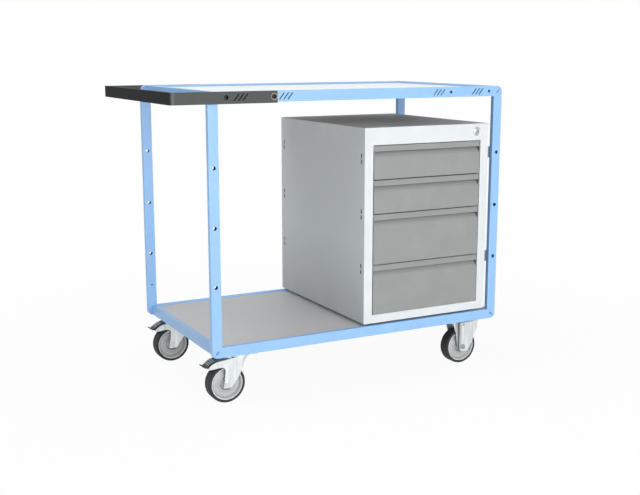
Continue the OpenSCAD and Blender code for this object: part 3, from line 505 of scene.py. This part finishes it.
# geometry nodes: one tree for each kind of repeated part
class Grove(Tree):
    def __init__(self, name, inputs):
        self.group = bpy.data.node_groups.new(name, "GeometryNodeTree")
        super().__init__(self.group)
        self.group.interface.new_socket("Geometry", in_out="OUTPUT", socket_type="NodeSocketGeometry")
        for label, kind in inputs.items():
            self.group.interface.new_socket(label, in_out="INPUT", socket_type=kind)
        self.given = self.node("NodeGroupInput").outputs

    def made(self, kind, settings=None, sockets=None):  # what a node gives
        return self.node(kind, settings, sockets).outputs[0]

    def union(self, first, *others):
        joined = self.node("GeometryNodeMeshBoolean", {"operation": "UNION"}, {1: first})
        for other in others:
            self.links.new(other, joined.inputs[1])
        return joined.outputs[0]

    def difference(self, whole, cutter):
        return self.made("GeometryNodeMeshBoolean", {"operation": "DIFFERENCE"}, {0: whole, 1: cutter})

    def cylinder(self, vertices, radius, depth):
        return self.made("GeometryNodeMeshCylinder", None,
                         {"Vertices": vertices, "Radius": radius, "Depth": depth})

    def ball(self, segments, rings):
        return self.made("GeometryNodeMeshUVSphere", None,
                         {"Segments": segments, "Rings": rings, "Radius": 1.0})

    def block(self, size):
        return self.made("GeometryNodeMeshCube", None, {"Size": size})

    def moved(self, geometry, place):
        return self.made("GeometryNodeTransform", None, {"Geometry": geometry, "Translation": place})

    def sized(self, geometry, size):
        return self.made("GeometryNodeTransform", None, {"Geometry": geometry, "Scale": size})

    def finish(self, geometry):
        real = self.made("GeometryNodeRealizeInstances", None, {0: geometry})
        painted = self.made("GeometryNodeSetMaterial", None,
                            {"Geometry": real, "Material": self.given["Finish"]})
        self.node("NodeGroupOutput", None, {0: painted})
        return self.group


rowInputs = {"Start": "NodeSocketVector", "Step": "NodeSocketVector", "Count": "NodeSocketInt",
             "Size": "NodeSocketVector", "Turn": "NodeSocketVector", "Finish": "NodeSocketMaterial"}


def rowTree(name, makeItem):
    grove = Grove(name, rowInputs)
    given = grove.given
    line = grove.made("GeometryNodeMeshLine", None,
                      {"Count": given["Count"], "Start Location": given["Start"], "Offset": given["Step"]})
    turned = grove.made("FunctionNodeEulerToRotation", None, {0: given["Turn"]})
    item = grove.sized(makeItem(grove), given["Size"])
    return grove.finish(grove.made("GeometryNodeInstanceOnPoints", None,
                                   {"Points": line, "Instance": item, "Rotation": turned}))


# every item has a radius of one, and these lengths are shares of it
shares = {"seat": -0.02, "socket": 0.5, "socketDeep": 0.9, "socketHigh": 0.3, "crossWide": 0.22,
          "crossLong": 1.1, "crossHigh": 1.05, "ribDome": 0.12, "ringHole": 0.84}


def domeItem(grove):
    # a low rivet head, its seat at zero
    ball = grove.ball(segments=20, rings=12)
    place = grove.made("GeometryNodeInputPosition")
    high = grove.node("ShaderNodeSeparateXYZ", None, {0: place}).outputs["Z"]
    below = grove.made("FunctionNodeCompare", {"data_type": "FLOAT", "operation": "LESS_THAN"},
                       {0: high, 1: shares["seat"]})
    return grove.made("GeometryNodeDeleteGeometry", {"domain": "POINT"},
                      {"Geometry": ball, "Selection": below})


def beadItem(grove):
    # one ripple of a weld
    return grove.made("GeometryNodeMeshIcoSphere", None, {"Radius": 1.0, "Subdivisions": 2})


def socketScrewItem(grove):
    # a cylinder head of unit height with a hexagon socket sunk in its face
    head = grove.cylinder(vertices=32, radius=1.0, depth=1.0)
    pit = grove.cylinder(vertices=6, radius=shares["socket"], depth=shares["socketDeep"])
    return grove.moved(grove.difference(head, grove.moved(pit, (0, 0, shares["socketHigh"]))), (0, 0, 0.5))


def crossScrewItem(grove):
    # a pan head with a cross recess
    wide, long = shares["crossWide"], shares["crossLong"]
    cross = grove.union(grove.block((long, wide, 1.0)), grove.block((wide, long, 1.0)))
    return grove.difference(domeItem(grove), grove.moved(cross, (0, 0, shares["crossHigh"])))


def ribItem(grove):
    # a round bar of unit half length, its ends domed
    bar = grove.cylinder(vertices=16, radius=1.0, depth=2.0)
    dome = grove.sized(grove.ball(segments=16, rings=8), (1, 1, shares["ribDome"]))
    return grove.union(bar, *[grove.moved(dome, (0, 0, end)) for end in (-1, 1)])


def washerItem(grove):
    # a flat ring of unit height
    disc = grove.cylinder(vertices=48, radius=1.0, depth=1.0)
    hole = grove.cylinder(vertices=48, radius=shares["ringHole"], depth=2.0)
    return grove.moved(grove.difference(disc, hole), (0, 0, 0.5))


trees = {kind: rowTree(kind + "Row", makeItem) for kind, makeItem in (
    ("rivet", domeItem), ("weld", beadItem), ("socketScrew", socketScrewItem),
    ("crossScrew", crossScrewItem), ("washer", washerItem), ("rib", ribItem))}


def grow(name, kind, rows, body, slotName, finish=None, smooth=35):
    # evaluates the tree once for each row and joins the rows into one plain mesh
    tree = trees[kind]
    carrier = bpy.data.objects.new("carrier", bpy.data.meshes.new("carrier"))
    bpy.context.scene.collection.objects.link(carrier)
    joined = bmesh.new()
    for row in rows:
        modifier = carrier.modifiers.new("row", "NODES")
        modifier.node_group = tree
        values = {**row, "Finish": finish or finishes[slotName]}
        for item in tree.interface.items_tree:
            if item.in_out == "INPUT" and item.name in values:
                modifier[item.identifier] = values[item.name]
        carrier.update_tag()
        bpy.context.view_layer.update()
        done = bpy.data.meshes.new_from_object(
            carrier.evaluated_get(bpy.context.evaluated_depsgraph_get()))
        joined.from_mesh(done)
        carrier.modifiers.remove(modifier)
    mesh = bpy.data.meshes.new(name)
    joined.to_mesh(mesh)
    joined.free()
    bpy.data.objects.remove(carrier)
    return addPiece(name, mesh, body, slotName, smooth, finish)


# the two tube frames
tube = {"radius": 0.0018, "outer": (0.955, 0.722, 0.016), "inner": (0.895, 0.662, 0.0), "high": 0.505,
        "middle": 0.0535, "faces": (0.262, 0.277), "hollow": (0.2634, 0.2756), "wall": 0.0014,
        "onFace": 1e-4, "onOutline": 3e-4}
handleTube = {"radius": 0.0014, "hollow": (0.2782, 0.2872), "bend": -0.515}


def fromOutline(spot, outline):  # distance in plan from a rounded rectangle, less than nothing inside it
    width, height, corner = outline
    across = abs(spot.x - tube["middle"]) - width / 2 + corner
    along = abs(spot.z - tube["high"]) - height / 2 + corner
    return math.hypot(max(across, 0), max(along, 0)) + min(max(across, along), 0) - corner


def tubeEdge(edge):  # on a broad face, and on the outline of the loop outside or inside
    ends = [vert.co for vert in edge.verts]
    spot = (ends[0] + ends[1]) / 2
    if min(abs(abs(spot.y) - face) for face in tube["faces"]) > tube["onFace"]:
        return False
    if abs(ends[0].y - ends[1].y) > tube["onFace"]:
        return False
    return min(abs(fromOutline(spot, tube[side])) for side in ("outer", "inner")) < tube["onOutline"]


def insideTube(place):
    within = (fromOutline(place, tube["outer"]) < -tube["wall"]
              and fromOutline(place, tube["inner"]) > tube["wall"])
    return 1.0 if within and tube["hollow"][0] < abs(place.y) < tube["hollow"][1] else 0.0


def insideHandle(place):
    low, high = handleTube["hollow"]
    return 1.0 if low < abs(place.y) < high and place.x > handleTube["bend"] else 0.0


# the hollow insides of the frames and the handle are marked for a dark painted shade
for name in ("front_frame", "rear_frame"):
    softened(name, tube["radius"], tubeEdge, clamp=False, marks={"raw": insideTube})
softened("end_rails", 0.0016)
softened("push_handle", handleTube["radius"], marks={"raw": insideHandle})
print("frames made")

# wheels: half sections in mm from the axle and from the middle
wheel = {"high": 0.055, "across": 0.222, "places": {"swivel": -0.366, "rigid": 0.431},
         "slots": {"tyre": "tyre_rubber", "rim": "rim_plastic"},
         "tyre": [(46.5, 16.5), (47.6, 17.2), (49, 17.5), (51.2, 17.5), (52.6, 17.2), (53.9, 16.3),
                  (54.7, 14.9), (54.95, 13.0), (55, 10), (55, 0.5), (54.75, 0.25)],
         "rim": [(5.05, 20.5), (10.6, 20.5), (11.6, 20.1), (12, 19.4), (12.5, 17.2), (13.6, 13.6),
                 (15.4, 10.6), (17.4, 8.6), (18.7, 8.1), (19.6, 8.9), (20.3, 10.8), (21, 11.6), (22, 11.7),
                 (23, 11.1), (24.2, 10.2), (27, 8.7), (30, 7.5), (33, 6.6), (36, 6.1), (38.6, 6),
                 (40.4, 6.5), (41.8, 7.6), (42.7, 9.2), (43.3, 12), (43.6, 15.2), (44.1, 16.3),
                 (44.9, 16.8), (46.5, 16.5)]}
sides = (("front", -wheel["across"]), ("rear", wheel["across"]))
for end, x in wheel["places"].items():
    for side, y in sides:
        for part, slotName in wheel["slots"].items():
            node = side + "_" + end + "_" + part
            loop = wheel[part] + [(radius, -across) for radius, across in reversed(wheel[part])]
            piece = addPiece(node + "_turned", revolved(node + "_turned", loop, (x, y, wheel["high"])),
                             bodyOf[node], slotName, smooth=50)
            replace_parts(piece, node)
print("wheels made")

# sheet work: forks, cabinet, drawer fronts, pedals, brackets
sheet = {"cabinet": 0.0012, "drawer": 0.0009, "longer": 0.2, "onCorner": 1e-4}
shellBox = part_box("cabinet_shell")


def longFold(edge):
    return edge.calc_length() > sheet["longer"]


def shellFold(edge):  # the long corners on the outside
    spots = [vert.co for vert in edge.verts]
    return all(min(abs(spot[axis] - corner[axis]) for corner in shellBox) < sheet["onCorner"]
               for spot in spots for axis in (0, 2))


softened("cabinet_front_frame", sheet["cabinet"], longFold)
softened("cabinet_shell", sheet["cabinet"], shellFold, whole=False)
sheetEdges = {"front_swivel_fork": 0.0007, "rear_swivel_fork": 0.0007,
              "rigid_forks": 0.0006, "front_swivel_pedal": 0.0006, "rear_swivel_pedal": 0.0006,
              "cabinet_brackets": 0.0006}
joggle = {"left": 0.4158, "right": 0.4163, "low": 0.045, "high": 0.136}
pedalTip = {"from": -0.3975, "slope": 200, "most": 2.2}
scoop = {"deep": 0.0115, "lip": 0.0155}


# marks the joggle's step for painted shade
def inJoggle(place):  # the step between the flange and the raised face of a rigid fork
    across = joggle["left"] < place.x < joggle["right"]
    return 1.0 if across and joggle["low"] < place.z < joggle["high"] else 0.0


def atTip(place):  # the upturned end of a pedal
    return min(max((pedalTip["from"] - place.x) * pedalTip["slope"], 0), pedalTip["most"])


def scoopOf(name):  # painted shade deepens towards the back of a drawer front's scoop
    face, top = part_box(name)[0][1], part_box(name)[1][2]

    def inScoop(place):
        depth = min(max(place.y - face, 0) / scoop["deep"], 1.0)
        return depth if place.z < top - scoop["lip"] else 0.0
    return inScoop


# darkening marks: painted shade on a rigid fork's step, and the pedals darker towards their tips
darkMarks = {"rigid_forks": inJoggle, "front_swivel_pedal": atTip, "rear_swivel_pedal": atTip}
for name, radius in sheetEdges.items():
    softened(name, radius, marks={"grime": darkMarks[name]} if name in darkMarks else None)
for k in "1234":
    name = "drawer_" + k + "_front"
    softened(name, sheet["drawer"], marks={"grime": scoopOf(name)})
print("sheet work made")

# screws, rivets and welds, in rows
outward = {-1: (math.pi / 2, 0, 0), 1: (-math.pi / 2, 0, 0)}
handleScrew = {"high": 0.851, "ringAt": -0.237, "sunkAt": -0.375, "skin": 0.289, "sunkSeat": 0.279,
               "ring": (0.0093, 0.0093, 0.0014), "head": (0.0059, 0.0059, 0.005),
               "sunkHead": (0.005, 0.005, 0.005)}
rings, heads = [], []
for side in (-1, 1):
    here = {"Step": (0, 0, 0), "Count": 1, "Turn": outward[side]}
    onSkin = (handleScrew["ringAt"], side * handleScrew["skin"], handleScrew["high"])
    sunk = (handleScrew["sunkAt"], side * handleScrew["sunkSeat"], handleScrew["high"])
    rings.append({**here, "Start": onSkin, "Size": handleScrew["ring"]})
    heads.append({**here, "Start": onSkin, "Size": handleScrew["head"]})
    heads.append({**here, "Start": sunk, "Size": handleScrew["sunkHead"]})
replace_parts(grow("handle_screws", "socketScrew", heads, "frame", "dark_steel"), "handle_bolts")
grow("handle_rings", "washer", rings, "frame", "zinc", finishes["ringPlate"])

cleatScrew = {"size": (0.0042, 0.0042, 0.0022), "apart": 0.03, "under": (0.1545, 0.839),
              "long": (-0.18525, 0.29225), "short": (-0.385, 0.492), "side": 0.252}
rows = []
for high in cleatScrew["under"]:
    here = {"Count": 2, "Turn": (math.pi, 0, 0), "Size": cleatScrew["size"]}
    for x in cleatScrew["long"]:
        for side in (-1, 1):
            rows.append({**here, "Start": (x - cleatScrew["apart"] / 2, side * cleatScrew["side"], high),
                         "Step": (cleatScrew["apart"], 0, 0)})
    for x in cleatScrew["short"]:
        rows.append({**here, "Start": (x, -cleatScrew["apart"] / 2, high),
                     "Step": (0, cleatScrew["apart"], 0)})
grow("cleat_screws", "crossScrew", rows, "frame", "zinc")

backRivet = {"size": (0.0032, 0.0032, 0.0016), "skin": 0.273, "x": (0.0635, 0.4805), "z": (0.188, 0.747),
             "count": 6, "gaps": (5, 7)}
stepX = (backRivet["x"][1] - backRivet["x"][0]) / backRivet["gaps"][0]
stepZ = (backRivet["z"][1] - backRivet["z"][0]) / backRivet["gaps"][1]
rows = [{"Start": (backRivet["x"][0], backRivet["skin"], z), "Step": (stepX, 0, 0)} for z in backRivet["z"]]
rows += [{"Start": (x, backRivet["skin"], backRivet["z"][0] + stepZ), "Step": (0, 0, stepZ)}
         for x in backRivet["x"]]
rows = [{**row, "Count": backRivet["count"], "Turn": outward[1], "Size": backRivet["size"]} for row in rows]
grow("back_rivets", "rivet", rows, "frame", "carcass_paint")

weld = {"size": (0.0014, 0.0012, 0.0017), "pitch": 0.0019, "count": 15, "low": (0.1455, 0.8375),
        "face": 0.2615, "rails": (-0.4088, -0.3942, 0.5012, 0.5158)}
rows = [{"Start": (x, side * weld["face"], z), "Step": (0, 0, weld["pitch"]), "Count": weld["count"],
         "Turn": (0, 0, 0), "Size": weld["size"]}
        for x in weld["rails"] for side in (-1, 1) for z in weld["low"]]
grow("rail_welds", "weld", rows, "frame", "frame_paint")

# the pedals' ribs: each pair's first rib and the step to its second, in mm from the swivel's top
# the ribs' pale finish stands for steel worn bare and a painted highlight
tread = {"size": (0.0011, 0.0011, 0.0115), "from": (-0.324, 0.144),
         "pairs": (((-79.5, -18.6), (-5.5, -2.75)), ((-91.0, -24.8), (-4.6, -3.0)))}
for side, y in sides:
    rows = [{"Start": (tread["from"][0] + along / 1000, y, tread["from"][1] + high / 1000),
             "Step": (back / 1000, 0, down / 1000), "Count": 2, "Turn": outward[-1], "Size": tread["size"]}
            for (along, high), (back, down) in tread["pairs"]]
    grow(side + "_tread", "rib", rows, side + "_pedal", "pedal_steel", finishes["treadSteel"])
print("rows made")

# the lock's rosette: a stepped ring round the barrel
rosette = {"centre": (lockPlace["x"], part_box("lock_housing")[0][1], lockPlace["high"]),
           "ring": [(13.3, 0.6), (13.3, -0.3), (12.4, -1.6), (11.2, -2.2), (10.4, -1.9), (9.6, -3.4),
                    (8.6, -3.8), (7.6, -3.2), (7.3, -0.6), (7.3, 0.6)]}
addPiece("lock_rosette", revolved("lock_rosette", rosette["ring"], rosette["centre"]), "frame", "zinc",
         smooth=30, finish=finishes["lockPlate"])
print("lock made")

# floor, backdrop and light
studio = {"ambient": 0.27, "floorShade": 0.9, "floorGlow": 0.95, "fade": (0.9, 2.4), "floorReach": 25,
          "lamps": {
              "front": {"place": (-0.05, -4.2, 1.1), "aim": (0, 0, 0.4), "size": 2.6, "power": 112.0},
              "low": {"place": (-2.4, -3.2, 0.3), "aim": (-0.37, 0.22, 0.06), "size": 0.8, "power": 3.0},
              "side": {"place": (-2.6, 0.4, 4.6), "aim": (0, 0, 0.4), "size": 4.0, "power": 80.0},
              "overhead": {"place": (0.05, 0.1, 4.2), "aim": (0.05, 0, 0.4), "size": 1.0, "power": 30.0},
          }}


class Backdrop(ShaderTree):
    # nodes of the world or of the floor, which look white to the camera and in mirrors only
    def seen(self):
        path = self.node("ShaderNodeLightPath")
        total = self.wire(path.outputs["Is Camera Ray"])
        for ray in ("Is Glossy Ray", "Is Transmission Ray"):
            total = total.join("MAXIMUM", total, self.wire(path.outputs[ray]))
        return total

    def mix(self, factor, first, second):
        mixed = self.node("ShaderNodeMixShader", None,
                          {0: factor, 1: first.outputs[0], 2: second.outputs[0]})
        self.links.new(mixed.outputs[0], self.output)


white = (1, 1, 1, 1)
world = bpy.data.worlds.new("studio")
bpy.context.scene.world = world
world.use_nodes = True
sky = Backdrop(world.node_tree, "ShaderNodeOutputWorld")
sky.mix(sky.seen(), sky.node("ShaderNodeBackground", None, {0: white, 1: studio["ambient"]}),
        sky.node("ShaderNodeBackground", None, {0: white, 1: 1.0}))

# the floor shows white further out, and takes the shadow close to the wheels
reach = studio["floorReach"]
floorMesh = bpy.data.meshes.new("floor")
floorMesh.from_pydata([(-reach, -reach, 0), (reach, -reach, 0), (reach, reach, 0), (-reach, reach, 0)],
                      [], [(0, 1, 2, 3)])
floor = bpy.data.objects.new("floor", floorMesh)
pale = bpy.data.materials.new("floor")
pale.use_nodes = True
ground = Backdrop(pale.node_tree, "ShaderNodeOutputMaterial")
x, y, _ = ground.axes()
near, far = studio["fade"]
away = ((x * x + y * y) ** 0.5).above(near, 1 / (far - near))
glow = away * (1 - studio["floorGlow"]) + studio["floorGlow"]
shade = (*[studio["floorShade"]] * 3, 1)
ground.mix(ground.seen() * glow, ground.node("ShaderNodeBsdfDiffuse", None, {0: shade}),
           ground.node("ShaderNodeEmission", None, {0: white, 1: 1.0}))
floorMesh.materials.append(pale)
bpy.context.scene.collection.objects.link(floor)

for name, lamp in studio["lamps"].items():
    light = bpy.data.objects.new(name, bpy.data.lights.new(name, "AREA"))
    light.data.size = lamp["size"]
    light.data.energy = lamp["power"]
    light.location = lamp["place"]
    light.rotation_euler = (Vector(lamp["aim"]) - light.location).to_track_quat("-Z", "Y").to_euler()
    bpy.context.scene.collection.objects.link(light)
print("stage set")
